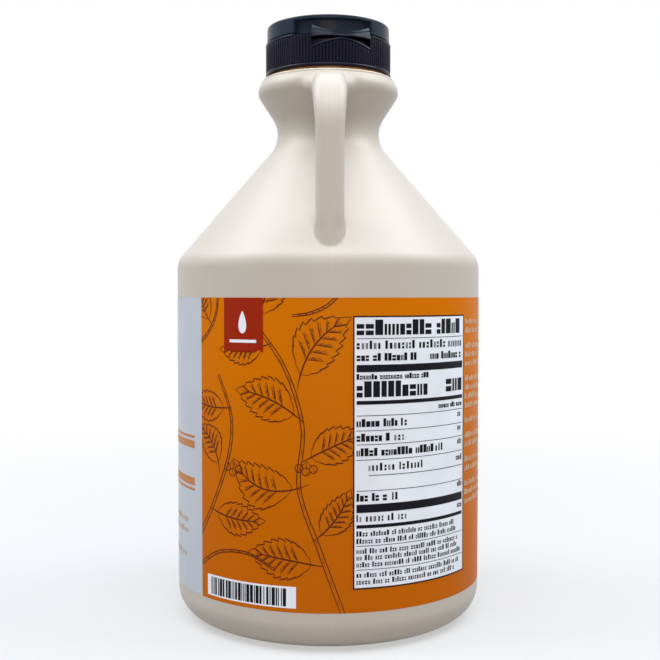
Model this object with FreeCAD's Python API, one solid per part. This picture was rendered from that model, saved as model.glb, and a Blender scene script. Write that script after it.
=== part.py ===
"""One-quart plastic syrup jug: blow-moulded body with a loop handle, a wrap-around label
and a ribbed flip-top screw cap. Millimetres, +Z up, origin at the centre of the base,
handle towards -Y. Each piece is written to parts/NODE.step."""

import FreeCAD
import Part

import math
import os

from FreeCAD import Vector

# Body: a surface of revolution. A corner is where the straight runs on either side of a
# round would meet.
BODY_RADIUS = 49.35
BASE_ROUND = 9.3
FOOT_RING_INNER_RADIUS = 33.0
PUSH_UP_DEPTH = 1.5
PUSH_UP_SLOPE_WIDTH = 3.0
SHOULDER_HEIGHT = 114.5
SHOULDER_ROUND = 6.7
WAIST_RADIUS = 14.25
WAIST_RISE = 40.7
WAIST_ROUND = 9.65
COLLAR_RISE = 14.0
COLLAR_ROUND = 3.65
COLLAR_TOP_RISE = 4.2
COLLAR_FLARE = 2.0
COLLAR_LEDGE = 0.95

# Handle: a strap that leaves the collar level, bends down and lands on the cone just
# inside the shoulder.
HANDLE_INSET = 2.35
HANDLE_WIDTH = 8.5
HANDLE_TOP_WIDTH = 10.4
HANDLE_THICKNESS = 7.4
HANDLE_BEND = 19.5
HANDLE_TOP_ABOVE_COLLAR = 1.3
HANDLE_EDGE_ROUND = 2.6
HANDLE_FLARE_LENGTH = 13.0
HANDLE_FLARE_DROP = 5.5
HANDLE_FLARE_ROUND = 25.0

# Label: one printed film round the straight wall, with its butt gap off to one side.
LABEL_THICKNESS = 0.15
LABEL_ABOVE_BASE = 12.1
LABEL_BELOW_SHOULDER = 11.8
LABEL_GAP_WIDTH = 3.0
LABEL_GAP_ANGLE = 60.0

# Cap: a ribbed skirt between two plain bands, a narrower smooth lid above a parting
# groove, and a bow-shaped hinge that joins the two in a window of the lid's wall.
CAP_RADIUS = 20.5
CAP_WALL = 1.7
CAP_NECK_CLEARANCE = 0.2
CAP_LIFT = 0.9
CAP_RIM_HEIGHT = 1.1
CAP_RIM_ROUND = 0.35
CAP_SKIRT_HEIGHT = 10.6
CAP_DECK_THICKNESS = 1.6
CAP_SHOULDER_HEIGHT = 0.9
CAP_SHOULDER_ROUND = 0.6
CAP_RIB_COUNT = 120
CAP_RIB_DEPTH = 0.3
CAP_RIB_SINK = 0.25
LID_INSET = 0.45
LID_HEIGHT = 5.5
LID_ROUND = 0.5
GROOVE_HEIGHT = 0.35
GROOVE_DEPTH = 0.7
CAP_TURN = 12.0
WINDOW_BEFORE_HINGE = 45.0
WINDOW_AFTER_HINGE = 30.0
WINDOW_DEPTH = 2.0
WINDOW_LIP = 1.0
BOW_HALF_WIDTH = 9.6
BOW_KNOT_HALF_WIDTH = 1.3
BOW_HEIGHT = 7.2
BOW_KNOT_HEIGHT = 1.9
BOW_ABOVE_SKIRT = -1.1
BOW_PROUD = 0.25
BOW_ROOT_DEPTH = 3.2
THUMB_TAB_HALF_ANGLE = 18.0
THUMB_TAB_HEIGHT = 1.5

UP = Vector(0, 0, 1)

# Places that follow from the sizes above.
WAIST_HEIGHT = SHOULDER_HEIGHT + WAIST_RISE
COLLAR_HEIGHT = WAIST_HEIGHT + COLLAR_RISE
COLLAR_TOP_HEIGHT = COLLAR_HEIGHT + COLLAR_TOP_RISE
COLLAR_TOP_RADIUS = CAP_RADIUS + COLLAR_LEDGE
COLLAR_RADIUS = COLLAR_TOP_RADIUS + COLLAR_FLARE
HANDLE_REACH = BODY_RADIUS - HANDLE_INSET
HANDLE_TOP = COLLAR_HEIGHT + HANDLE_TOP_ABOVE_COLLAR
HANDLE_FOOT = SHOULDER_HEIGHT - SHOULDER_ROUND
CAP_BOTTOM = COLLAR_TOP_HEIGHT + CAP_LIFT
CAP_HEIGHT = CAP_SKIRT_HEIGHT + LID_HEIGHT
BORE_RADIUS = CAP_RADIUS - CAP_WALL
BORE_DEPTH = CAP_SKIRT_HEIGHT - CAP_DECK_THICKNESS
NECK_RADIUS = BORE_RADIUS - CAP_NECK_CLEARANCE
NECK_TOP = CAP_BOTTOM + BORE_DEPTH
LID_RADIUS = CAP_RADIUS - LID_INSET
LABEL_TOP = SHOULDER_HEIGHT - LABEL_BELOW_SHOULDER


def rounded_chain(corners):
    """Edges through (point, round) corners: straight runs with a tangent arc at each round."""
    edges = []
    start = corners[0][0]
    for before, corner, after in zip(corners, corners[1:], corners[2:]):
        point, radius = corner
        if radius > 0:
            back = (before[0] - point).normalize()
            ahead = (after[0] - point).normalize()
            half = back.getAngle(ahead) / 2
            setback = radius / math.tan(half)
            enter = point + back * setback
            leave = point + ahead * setback
            bisector = (back + ahead).normalize()
            middle = point + bisector * (radius / math.sin(half) - radius)
            edges.append(Part.LineSegment(start, enter).toShape())
            edges.append(Part.Arc(enter, middle, leave).toShape())
            start = leave
        else:
            edges.append(Part.LineSegment(start, point).toShape())
            start = point
    edges.append(Part.LineSegment(start, corners[-1][0]).toShape())
    return edges


def closed_face(edges):
    """Flat face inside a chain of edges, closed by one straight edge."""
    first = edges[0].Vertexes[0].Point
    last = edges[-1].Vertexes[-1].Point
    closing = Part.LineSegment(last, first).toShape()
    return Part.Face(Part.Wire(edges + [closing]))


def revolved(corners):
    """Solid of revolution about Z from (radius, height, round) corners that end on the axis."""
    chain = [(Vector(radius, 0, height), fillet) for radius, height, fillet in corners]
    return closed_face(rounded_chain(chain)).revolve(Vector(0, 0, 0), UP, 360)


def ring_sector(inner, outer, bottom, top, start, sweep):
    """Part of a ring about Z between two radii and two heights, from an angle in degrees."""
    corners = [Vector(inner, 0, bottom), Vector(outer, 0, bottom),
               Vector(outer, 0, top), Vector(inner, 0, top)]
    section = Part.Face(Part.makePolygon(corners + corners[:1]))
    sector = section.revolve(Vector(0, 0, 0), UP, sweep)
    sector.rotate(Vector(0, 0, 0), UP, start)
    return sector


def turned_body():
    """Body without its handle: push-up base, straight wall, cone, waist, collar and neck."""
    return revolved([
        (0, PUSH_UP_DEPTH, 0),
        (FOOT_RING_INNER_RADIUS - PUSH_UP_SLOPE_WIDTH, PUSH_UP_DEPTH, 0),
        (FOOT_RING_INNER_RADIUS, 0, 0),
        (BODY_RADIUS, 0, BASE_ROUND),
        (BODY_RADIUS, SHOULDER_HEIGHT, SHOULDER_ROUND),
        (WAIST_RADIUS, WAIST_HEIGHT, WAIST_ROUND),
        (COLLAR_RADIUS, COLLAR_HEIGHT, COLLAR_ROUND),
        (COLLAR_TOP_RADIUS, COLLAR_TOP_HEIGHT, 0),
        (NECK_RADIUS, COLLAR_TOP_HEIGHT, 0),
        (NECK_RADIUS, NECK_TOP, 0),
        (0, NECK_TOP, 0),
    ])


def handle_side_chains():
    """Outer and inner edge of the strap in the YZ plane, from the foot to the collar."""
    inner_reach = HANDLE_REACH - HANDLE_THICKNESS
    underside = HANDLE_TOP - HANDLE_THICKNESS
    outer = rounded_chain([
        (Vector(0, -WAIST_RADIUS, HANDLE_TOP), 0),
        (Vector(0, -HANDLE_REACH, HANDLE_TOP), HANDLE_BEND),
        (Vector(0, -HANDLE_REACH, HANDLE_FOOT), 0),
    ])
    inner = rounded_chain([
        (Vector(0, -inner_reach, HANDLE_FOOT), 0),
        (Vector(0, -inner_reach, underside), HANDLE_BEND - HANDLE_THICKNESS),
        (Vector(0, -WAIST_RADIUS, underside), 0),
    ])
    return outer, inner


def handle_front_chain(side):
    """Edge of the strap seen from the front, for side 1 or -1: it widens towards the top."""
    half = side * HANDLE_WIDTH / 2
    top_half = side * HANDLE_TOP_WIDTH / 2
    flare_end = HANDLE_TOP - HANDLE_FLARE_DROP
    flare_start = flare_end - HANDLE_FLARE_LENGTH
    return rounded_chain([
        (Vector(half, 0, HANDLE_FOOT - 1), 0),
        (Vector(half, 0, flare_start), HANDLE_FLARE_ROUND),
        (Vector(top_half, 0, flare_end), HANDLE_FLARE_ROUND),
        (Vector(top_half, 0, HANDLE_TOP + 1), 0),
    ])


def handle():
    """Strap with rounded long edges, its ends inside the collar and inside the shoulder."""
    outer, inner = handle_side_chains()
    foot_edge = Part.LineSegment(Vector(0, -HANDLE_REACH, HANDLE_FOOT),
                                 Vector(0, HANDLE_THICKNESS - HANDLE_REACH, HANDLE_FOOT))
    side_face = closed_face(outer + [foot_edge.toShape()] + inner)
    side_face.translate(Vector(-HANDLE_TOP_WIDTH, 0, 0))
    side_prism = side_face.extrude(Vector(2 * HANDLE_TOP_WIDTH, 0, 0))

    right = handle_front_chain(1)
    left = handle_front_chain(-1)
    top_edge = Part.LineSegment(right[-1].Vertexes[-1].Point, left[-1].Vertexes[-1].Point)
    bottom_edge = Part.LineSegment(right[0].Vertexes[0].Point, left[0].Vertexes[0].Point)
    outline = Part.__sortEdges__(right + left + [top_edge.toShape(), bottom_edge.toShape()])
    front_face = Part.Face(Part.Wire(outline))
    front_prism = front_face.extrude(Vector(0, -2 * HANDLE_REACH, 0))

    strap = side_prism.common(front_prism)
    long_edges = [edge for edge in strap.Edges if follows_chain(edge, outer + inner)]
    return strap.makeFillet(HANDLE_EDGE_ROUND, long_edges)


def follows_chain(edge, chain):
    """True for an edge beside the middle plane that lies over one of the chain's edges."""
    middle = edge.valueAt((edge.FirstParameter + edge.LastParameter) / 2)
    if abs(middle.x) < HANDLE_WIDTH / 4:
        return False
    shadow = Part.Vertex(Vector(0, middle.y, middle.z))
    return min(shadow.distToShape(side)[0] for side in chain) < 0.001


def jug():
    """Blow-moulded body and handle in one piece."""
    return turned_body().fuse(handle()).removeSplitter()


def label():
    """Printed film wrapped round the straight wall, face to face with it."""
    gap = math.degrees(LABEL_GAP_WIDTH / BODY_RADIUS)
    outer = BODY_RADIUS + LABEL_THICKNESS
    return ring_sector(BODY_RADIUS, outer, LABEL_ABOVE_BASE, LABEL_TOP,
                       LABEL_GAP_ANGLE + gap / 2, 360 - gap)


def rib_prism(bottom, top):
    """Skirt body with vertical ribs all round: a star outline with shallow points, extruded."""
    peak = CAP_RADIUS - CAP_RIB_SINK
    points = []
    for index in range(2 * CAP_RIB_COUNT):
        radius = peak if index % 2 == 0 else peak - CAP_RIB_DEPTH
        turn = math.pi * index / CAP_RIB_COUNT
        points.append(Vector(radius * math.cos(turn), radius * math.sin(turn), bottom))
    outline = Part.makePolygon(points + points[:1])
    return Part.Face(outline).extrude(Vector(0, 0, top - bottom))


def cap_blank():
    """Cap before its bore and window are cut: rim, ribs, shoulder band, groove and lid."""
    shoulder_bottom = CAP_SKIRT_HEIGHT - CAP_SHOULDER_HEIGHT
    lid_bottom = CAP_SKIRT_HEIGHT + GROOVE_HEIGHT
    rim = revolved([
        (0, 0, 0),
        (CAP_RADIUS, 0, CAP_RIM_ROUND),
        (CAP_RADIUS, CAP_RIM_HEIGHT, 0),
        (0, CAP_RIM_HEIGHT, 0),
    ])
    upper = revolved([
        (0, shoulder_bottom, 0),
        (CAP_RADIUS, shoulder_bottom, 0),
        (CAP_RADIUS, CAP_SKIRT_HEIGHT, CAP_SHOULDER_ROUND),
        (LID_RADIUS - GROOVE_DEPTH, CAP_SKIRT_HEIGHT, 0),
        (LID_RADIUS - GROOVE_DEPTH, lid_bottom, 0),
        (LID_RADIUS, lid_bottom, 0),
        (LID_RADIUS, CAP_HEIGHT, LID_ROUND),
        (0, CAP_HEIGHT, 0),
    ])
    ribs = rib_prism(CAP_RIM_HEIGHT / 2, shoulder_bottom + CAP_SHOULDER_HEIGHT / 3)
    return ribs.fuse([rim, upper])


def hinge_window():
    """Cut in the lid's wall round the hinge, below a lip at the top. The hinge is at -90."""
    start = -90 - WINDOW_BEFORE_HINGE
    sweep = WINDOW_BEFORE_HINGE + WINDOW_AFTER_HINGE
    return ring_sector(LID_RADIUS - WINDOW_DEPTH, CAP_RADIUS + 1, CAP_SKIRT_HEIGHT,
                       CAP_HEIGHT - WINDOW_LIP, start, sweep)


def hinge_bow():
    """Bow-shaped spring plate of the hinge, curved with the cap's wall, facing -Y."""
    middle = CAP_SKIRT_HEIGHT + BOW_ABOVE_SKIRT
    end = BOW_HEIGHT / 2
    knot = BOW_KNOT_HEIGHT / 2
    outline = [(-BOW_HALF_WIDTH, end), (-BOW_KNOT_HALF_WIDTH, knot), (BOW_KNOT_HALF_WIDTH, knot),
               (BOW_HALF_WIDTH, end), (BOW_HALF_WIDTH, -end), (BOW_KNOT_HALF_WIDTH, -knot),
               (-BOW_KNOT_HALF_WIDTH, -knot), (-BOW_HALF_WIDTH, -end)]
    corners = [Vector(x, 0, middle + z) for x, z in outline]
    bow_face = Part.Face(Part.makePolygon(corners + corners[:1]))
    prism = bow_face.extrude(Vector(0, -2 * CAP_RADIUS, 0))
    plate_outer = CAP_RADIUS + BOW_PROUD
    plate = ring_sector(plate_outer - BOW_ROOT_DEPTH, plate_outer, middle - end - 1,
                        middle + end + 1, -135, 90)
    return prism.common(plate)


def thumb_tab():
    """Ledge at the foot of the lid, opposite the hinge, that lifts the lid."""
    bottom = CAP_SKIRT_HEIGHT + GROOVE_HEIGHT
    return ring_sector(LID_RADIUS - 1, CAP_RADIUS, bottom, bottom + THUMB_TAB_HEIGHT,
                       90 - THUMB_TAB_HALF_ANGLE, 2 * THUMB_TAB_HALF_ANGLE)


def cap():
    """Closed flip-top cap, moulded in one piece, seated on the top of the neck."""
    bore = Part.makeCylinder(BORE_RADIUS, BORE_DEPTH)
    shell = cap_blank().cut(hinge_window()).fuse([hinge_bow(), thumb_tab()]).cut(bore)
    shell = shell.removeSplitter()
    shell.rotate(Vector(0, 0, 0), UP, CAP_TURN)
    shell.translate(Vector(0, 0, CAP_BOTTOM))
    return shell


PIECES = {"jug": jug, "label": label, "cap": cap}


def write_parts():
    """Writes each piece as one solid in its own file, and prints its size."""
    os.makedirs("parts", exist_ok=True)
    for node, make in PIECES.items():
        shape = make()
        solid = shape.Solids[0]
        box = solid.optimalBoundingBox()
        print(node, "solids", len(shape.Solids), "valid", solid.isValid(),
              "volume", round(solid.Volume), "low", box.ZMin, "high", box.ZMax)
        solid.exportStep(os.path.join("parts", node + ".step"))


write_parts()
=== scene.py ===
"""Looks of the syrup jug: cream moulded jug, black flip-top cap and printed label.

Sizes are millimetres, turned into metres by MM. The jug's axis is Z and the handle is
towards -Y. Places on the label are (arc, height): millimetres round the wall from the
handle's side, positive towards +X, and millimetres above the base.
"""

import math
import random

import bmesh
import bpy
import numpy as np
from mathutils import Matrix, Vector


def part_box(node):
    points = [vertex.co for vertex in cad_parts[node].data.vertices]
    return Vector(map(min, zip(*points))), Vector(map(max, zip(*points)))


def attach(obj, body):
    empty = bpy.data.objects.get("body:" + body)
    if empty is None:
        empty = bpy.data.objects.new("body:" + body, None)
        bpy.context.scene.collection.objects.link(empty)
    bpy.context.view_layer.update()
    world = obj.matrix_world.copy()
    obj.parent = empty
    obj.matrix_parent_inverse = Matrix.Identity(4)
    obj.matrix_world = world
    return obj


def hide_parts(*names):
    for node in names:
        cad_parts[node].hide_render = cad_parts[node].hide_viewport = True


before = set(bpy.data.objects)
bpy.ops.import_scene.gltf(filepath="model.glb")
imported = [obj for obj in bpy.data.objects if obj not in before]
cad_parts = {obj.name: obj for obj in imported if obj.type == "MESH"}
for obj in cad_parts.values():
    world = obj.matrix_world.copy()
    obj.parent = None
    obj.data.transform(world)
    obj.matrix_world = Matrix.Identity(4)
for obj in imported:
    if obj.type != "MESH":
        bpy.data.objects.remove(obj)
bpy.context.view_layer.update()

MM = 0.001
JUG_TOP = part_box("jug")[1].z / MM
LABEL_BOTTOM, LABEL_TOP = (corner.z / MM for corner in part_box("label"))
CAP_BOTTOM, CAP_TOP = (corner.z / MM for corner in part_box("cap"))
BODY_RADIUS = 49.35

# Jug outline: (radius, height, round), from the middle of the base to the top of the neck.
NECK_RADIUS = 18.6
COLLAR_TOP = 173.55
JUG_OUTLINE = [
    (0.0, 1.5, 0.0),
    (30.0, 1.5, 2.0),
    (33.0, 0.0, 2.0),
    (BODY_RADIUS, 0.0, 9.3),
    (BODY_RADIUS, 114.5, 6.7),
    (14.25, 155.2, 9.65),
    (23.45, 169.2, 3.65),
    (21.95, 172.5, 0.15),
    (21.4, 172.55, 0.1),
    (21.4, COLLAR_TOP, 0.35),
    (NECK_RADIUS, COLLAR_TOP, 0.4),
    (NECK_RADIUS, JUG_TOP, 0.6),
    (0.0, JUG_TOP, 0.0),
]

# Handle: centre line of the strap in the plane of reach (-Y) and height.
STRAP_REACH = 43.3
STRAP_LEVEL = 166.8
STRAP_BEND = 15.8
STRAP_ROOT = 16.0
STRAP_FOOT = 108.0
STRAP_HALF_WIDTH = 4.2
STRAP_TOP_HALF_WIDTH = 5.15
STRAP_FLARE_FROM = 150.0
STRAP_FLARE_TO = 165.0
STRAP_HALF_THICKNESS = 3.7
STRAP_EDGE_ROUND = 2.9
STRAP_FOOT_HALF_WIDTH = 4.75
STRAP_FOOT_ROUND = 4.6
STRAP_FOOT_FLARE_FROM = 127.0
STRAP_FOOT_FLARE_TO = 121.5

# Fillets where the strap meets the body, and the height over which one becomes the other.
TOP_BLEND = 1.2
FOOT_BLEND = 0.5
FOOT_BLEND_UP_TO = 130.0
TOP_BLEND_FROM = 150.0

# Low swelling round the strap's upper root, as (x, reach, height).
PAD_CENTRE = (0.0, 20.5, 168.0)
PAD_SIZE = (7.9, 4.0, 3.8)
PAD_BLEND = 1.6

# Parting seam, which stops short of the base, of the neck and of the label.
SEAM_HEIGHT = 0.035
SEAM_WIDTH = 0.35
SEAM_FROM = 4.0
SEAM_COLLAR_REACH = 0.5
LABEL_CLEARANCE = 1.0

# Size of the quads in the rough mesh that is settled on the jug's surface.
BLANK_VOXEL = 1.05

# Label: radii of its printed layers, and the main places of its layout: (left, right) or
# (left, right, bottom, top), and the tag's foot in place of both heights.
SHEET_RADIUS = BODY_RADIUS + 0.03
LINE_RADIUS = BODY_RADIUS + 0.06
PANEL_RADIUS = BODY_RADIUS + 0.09
INK_RADIUS = BODY_RADIUS + 0.12
INK_THICKNESS = 0.02
FRONT_PANEL = (-148.0, -44.2)
FACTS_PANEL = (6.5, 48.4, 18.9, 97.5)
TAG = (-33.6, -19.8, 87.6)
STRIPE_BLOCK = (-41.3, -9.9, 13.3, 19.6)
LABEL_GAP_ARC = (128.0, 131.0)

# How far short of the film's edges the drawing and the plain fields stop.
EDGE_MARGIN = 0.05
GAP_MARGIN = 0.1
FIELD_MARGIN = 0.03


def link(name, mesh):
    """Scene object that shows a mesh."""
    obj = bpy.data.objects.new(name, mesh)
    bpy.context.scene.collection.objects.link(obj)
    return obj


def mesh_from(name, points, faces):
    """Mesh from points in millimetres and faces."""
    mesh = bpy.data.meshes.new(name)
    mesh.from_pydata([tuple(point) for point in np.asarray(points, float) * MM], [], faces)
    mesh.validate()
    return mesh


def smooth(mesh, sharp_degrees=None):
    """Smooth shading, with creases kept above an angle."""
    mesh.polygons.foreach_set("use_smooth", [True] * len(mesh.polygons))
    if sharp_degrees is not None:
        mesh.set_sharp_from_angle(angle=math.radians(sharp_degrees))


def grid_faces(rows, columns, closed_rows=True):
    """Quads of a grid whose points run column by column within each row."""
    faces = []
    last = columns if closed_rows else columns - 1
    for row in range(rows - 1):
        for column in range(last):
            after = (column + 1) % columns
            low = row * columns
            high = low + columns
            faces.append((low + column, low + after, high + after, high + column))
    return faces


def finish_piece(obj, material):
    """Gives a piece its material and its body."""
    obj.data.materials.clear()
    obj.data.materials.append(material)
    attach(obj, "root")
    return obj


# ---------------------------------------------------------------- jug


def rounded_outline(corners):
    """Runs and rounds through (radius, height, round) corners, as lines and tangent arcs."""
    points = [np.array(corner[:2], float) for corner in corners]
    pieces = []
    start = points[0]
    for before, corner, after, spec in zip(points, points[1:], points[2:], corners[1:]):
        back = (before - corner) / np.linalg.norm(before - corner)
        ahead = (after - corner) / np.linalg.norm(after - corner)
        half = math.acos(float(back @ ahead)) / 2
        radius = spec[2]
        enter = corner + back * radius / math.tan(half)
        leave = corner + ahead * radius / math.tan(half)
        bisector = (back + ahead) / np.linalg.norm(back + ahead)
        centre = corner + bisector * radius / math.sin(half)
        left_turn = back[1] * ahead[0] - back[0] * ahead[1]
        pieces.append(("line", start, enter))
        pieces.append(("arc", centre, radius, -bisector, math.pi / 2 - half, np.sign(left_turn)))
        start = leave
    pieces.append(("line", start, points[-1]))
    return pieces


def outline_points(pieces, step=1.0):
    """Points along an outline, closer together on its rounds."""
    points = [pieces[0][1]]
    for piece in pieces:
        if piece[0] == "line":
            points.append(piece[2])
            continue
        _, centre, radius, middle, span, turn = piece
        count = max(3, int(radius * 2 * span / step) + 1)
        for index in range(1, count + 1):
            angle = turn * span * (2 * index / count - 1)
            cos, sin = math.cos(angle), math.sin(angle)
            points.append(centre + radius * np.array([middle[0] * cos - middle[1] * sin,
                                                      middle[0] * sin + middle[1] * cos]))
    return points


def outline_distance(radius, height, pieces):
    """Signed distance from an outline, positive outside the solid."""
    best = np.full(radius.shape, 1e9)
    here = np.stack([radius, height], axis=-1)
    for piece in pieces:
        if piece[0] == "line":
            start, end = piece[1], piece[2]
            run = end - start
            length = float(np.linalg.norm(run))
            along = np.clip((here - start) @ run / length ** 2, 0, 1)
            away = here - (start + along[..., None] * run)
            side = away @ np.array([run[1], -run[0]])
            distance = np.linalg.norm(away, axis=-1) * np.where(side >= 0, 1, -1)
        else:
            _, centre, arc_radius, middle, span, turn = piece
            away = here - centre
            reach = np.linalg.norm(away, axis=-1) + 1e-9
            inside_span = (away @ middle) / reach >= math.cos(span) - 1e-6
            distance = np.where(inside_span, (reach - arc_radius) * turn, 1e9)
        best = np.where(np.abs(distance) < np.abs(best), distance, best)
    return best


def strap_distance(points):
    """Signed distance from the handle's strap: a round-edged section along its centre line."""
    x, reach, height = points[:, 0], -points[:, 1], points[:, 2]
    bend_reach = STRAP_REACH - STRAP_BEND
    bend_height = STRAP_LEVEL - STRAP_BEND
    level = height - STRAP_LEVEL
    upright = reach - STRAP_REACH
    bend = np.hypot(reach - bend_reach, height - bend_height) - STRAP_BEND
    below = height < bend_height
    inward = reach < bend_reach
    offset = np.where(below & inward, np.maximum(level, upright),
                      np.where(below, upright, np.where(inward, level, bend)))
    flare = np.clip((height - STRAP_FLARE_FROM) / (STRAP_FLARE_TO - STRAP_FLARE_FROM), 0, 1)
    flare = flare * flare * (3 - 2 * flare)
    foot_length = STRAP_FOOT_FLARE_FROM - STRAP_FOOT_FLARE_TO
    foot = np.clip((STRAP_FOOT_FLARE_FROM - height) / foot_length, 0, 1)
    foot = foot * foot * (3 - 2 * foot)
    half_width = (STRAP_HALF_WIDTH + (STRAP_TOP_HALF_WIDTH - STRAP_HALF_WIDTH) * flare
                  + (STRAP_FOOT_HALF_WIDTH - STRAP_HALF_WIDTH) * foot)
    edge_round = STRAP_EDGE_ROUND + (STRAP_FOOT_ROUND - STRAP_EDGE_ROUND) * foot
    half_depth = np.maximum(STRAP_HALF_THICKNESS, edge_round)
    side = np.abs(x) - (half_width - edge_round)
    face = np.abs(offset - (STRAP_HALF_THICKNESS - half_depth)) - (half_depth - edge_round)
    section = np.hypot(np.maximum(side, 0), np.maximum(face, 0))
    section = section + np.minimum(np.maximum(side, face), 0) - edge_round
    ends = np.maximum(STRAP_ROOT - reach, STRAP_FOOT - height)
    return np.maximum(section, ends)


def pad_distance(points):
    """Rough signed distance from the low swelling round the handle's upper root."""
    away = (points * np.array([1, -1, 1]) - np.array(PAD_CENTRE)) / np.array(PAD_SIZE)
    near = np.linalg.norm(away, axis=1)
    slope = np.linalg.norm(away / np.array(PAD_SIZE), axis=1) + 1e-9
    return near * (near - 1) / slope


def blended(first, second, reach):
    """Union of two signed distances with a fillet of about the reach."""
    mix = np.maximum(reach - np.abs(first - second), 0) / reach
    return np.minimum(first, second) - mix * mix * reach / 4


def jug_distance(points, pieces):
    """Signed distance from body and handle, blended at the roots, with the parting seam."""
    body = outline_distance(np.hypot(points[:, 0], points[:, 1]), points[:, 2], pieces)
    body = blended(body, pad_distance(points), PAD_BLEND)
    strap = strap_distance(points)
    height = points[:, 2]
    share = np.clip((height - FOOT_BLEND_UP_TO) / (TOP_BLEND_FROM - FOOT_BLEND_UP_TO), 0, 1)
    joined = blended(body, strap, FOOT_BLEND + (TOP_BLEND - FOOT_BLEND) * share)
    seam = SEAM_HEIGHT * np.exp(-(points[:, 0] / SEAM_WIDTH) ** 2)
    under_label = (height > LABEL_BOTTOM - LABEL_CLEARANCE) & (height < LABEL_TOP + LABEL_CLEARANCE)
    seamless = (height > COLLAR_TOP + SEAM_COLLAR_REACH) | (height < SEAM_FROM)
    return joined - np.where(under_label | seamless, 0, seam)


def jug_slope(points, pieces, step=0.01):
    """Outward direction at each point, from the signed distance."""
    slope = np.empty_like(points)
    for axis in range(3):
        shift = np.zeros(3)
        shift[axis] = step
        slope[:, axis] = (jug_distance(points + shift, pieces)
                          - jug_distance(points - shift, pieces)) / (2 * step)
    return slope


def settle_on_jug(points, pieces, rounds=5):
    """Moves points onto the blended surface and returns them with their normals."""
    for _ in range(rounds):
        slope = jug_slope(points, pieces)
        size = np.maximum((slope ** 2).sum(axis=1), 0.25)
        points = points - slope * (jug_distance(points, pieces) / size)[:, None]
    slope = jug_slope(points, pieces)
    return points, slope / np.linalg.norm(slope, axis=1)[:, None]


def lathe_blank(pieces, columns=160):
    """Rough closed turned shape of the body."""
    outline = [point for point in outline_points(pieces) if point[0] > 0.01]
    points = []
    for radius, height in outline:
        for column in range(columns):
            turn = 2 * math.pi * column / columns
            points.append((radius * math.cos(turn), radius * math.sin(turn), height))
    faces = grid_faces(len(outline), columns)
    faces.append(tuple(reversed(range(columns))))
    faces.append(tuple(range((len(outline) - 1) * columns, len(outline) * columns)))
    return points, faces


def strap_blank(bend_steps=16):
    """Rough closed bar along the handle's centre line."""
    path = [(STRAP_ROOT, STRAP_LEVEL, 0.0)]
    for index in range(bend_steps + 1):
        turn = math.pi / 2 * index / bend_steps
        path.append((STRAP_REACH - STRAP_BEND + STRAP_BEND * math.sin(turn),
                     STRAP_LEVEL - STRAP_BEND + STRAP_BEND * math.cos(turn), turn))
    path.append((STRAP_REACH, STRAP_FOOT, math.pi / 2))
    points = []
    for reach, height, turn in path:
        for x, offset in ((-1, -1), (1, -1), (1, 1), (-1, 1)):
            away = offset * STRAP_HALF_THICKNESS
            points.append((x * STRAP_HALF_WIDTH, -(reach + away * math.sin(turn)),
                           height + away * math.cos(turn)))
    faces = grid_faces(len(path), 4)
    faces.append((3, 2, 1, 0))
    last = 4 * (len(path) - 1)
    faces.append((last, last + 1, last + 2, last + 3))
    return points, faces


def joined_blank(pieces):
    """Body and strap merged into one even mesh of small quads."""
    points, faces = lathe_blank(pieces)
    strap_points, strap_faces = strap_blank()
    first = len(points)
    faces += [tuple(first + index for index in face) for face in strap_faces]
    blank = link("jug_blank", mesh_from("jug_blank", points + strap_points, faces))
    remesh = blank.modifiers.new("even", "REMESH")
    remesh.mode = "VOXEL"
    remesh.voxel_size = BLANK_VOXEL * MM
    depsgraph = bpy.context.evaluated_depsgraph_get()
    mesh = bpy.data.meshes.new_from_object(blank.evaluated_get(depsgraph))
    bpy.data.objects.remove(blank)
    return mesh


# Lines of edges along the parting seam.
SEAM_CUTS = (-0.7, -0.35, -0.15, 0.0, 0.15, 0.35, 0.7)

# Boxes whose faces are halved in turn, as low and high corners of (x, reach, height): the collar's
# rim, the strap's foot and the strap's upper root.
FINE_ZONES = [
    ((-30, -30, COLLAR_TOP - 1.9), (30, 30, COLLAR_TOP + 1.1)),
    ((-30, -30, COLLAR_TOP - 1.2), (30, 30, COLLAR_TOP + 0.35)),
    ((-9, 34, 113), (9, 52, 130)),
    ((-7, 37, 115), (7, 50, 128)),
    ((-9, 12, 160), (9, 30, COLLAR_TOP - 1.9)),
]


def within(place, low, high):
    """Tells whether a place in metres is inside a box given in millimetres of (x, reach, height)."""
    measures = zip(low, (place.x, -place.y, place.z), high)
    return all(least * MM < measure < most * MM for least, measure, most in measures)


def refine_jug(mesh):
    """Adds edges along the parting seam and more faces where the jug has fine edges."""
    bm = bmesh.new()
    bm.from_mesh(mesh)
    for offset in SEAM_CUTS:
        whole = bm.verts[:] + bm.edges[:] + bm.faces[:]
        bmesh.ops.bisect_plane(bm, geom=whole, dist=1e-6, plane_co=(offset * MM, 0, 0),
                               plane_no=(1, 0, 0))
    for low, high in FINE_ZONES:
        edges = [edge for edge in bm.edges if all(within(vert.co, low, high) for vert in edge.verts)]
        bmesh.ops.subdivide_edges(bm, edges=edges, cuts=1, use_grid_fill=True)
    bmesh.ops.triangulate(bm, faces=[face for face in bm.faces if len(face.verts) > 4])
    bm.to_mesh(mesh)
    bm.free()


def build_jug(material):
    """Blow-moulded body and handle as one smooth surface."""
    pieces = rounded_outline(JUG_OUTLINE)
    mesh = joined_blank(pieces)
    refine_jug(mesh)
    points = np.empty(len(mesh.vertices) * 3, np.float32)
    mesh.vertices.foreach_get("co", points)
    points, normals = settle_on_jug(points.reshape(-1, 3).astype(float) / MM, pieces)
    mesh.vertices.foreach_set("co", (points * MM).astype(np.float32).ravel())
    smooth(mesh)
    mesh.normals_split_custom_set_from_vertices([tuple(normal) for normal in normals])
    jug = link("jug_moulding", mesh)
    finish_piece(jug, material)
    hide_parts("jug")


# ---------------------------------------------------------------- label


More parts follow.
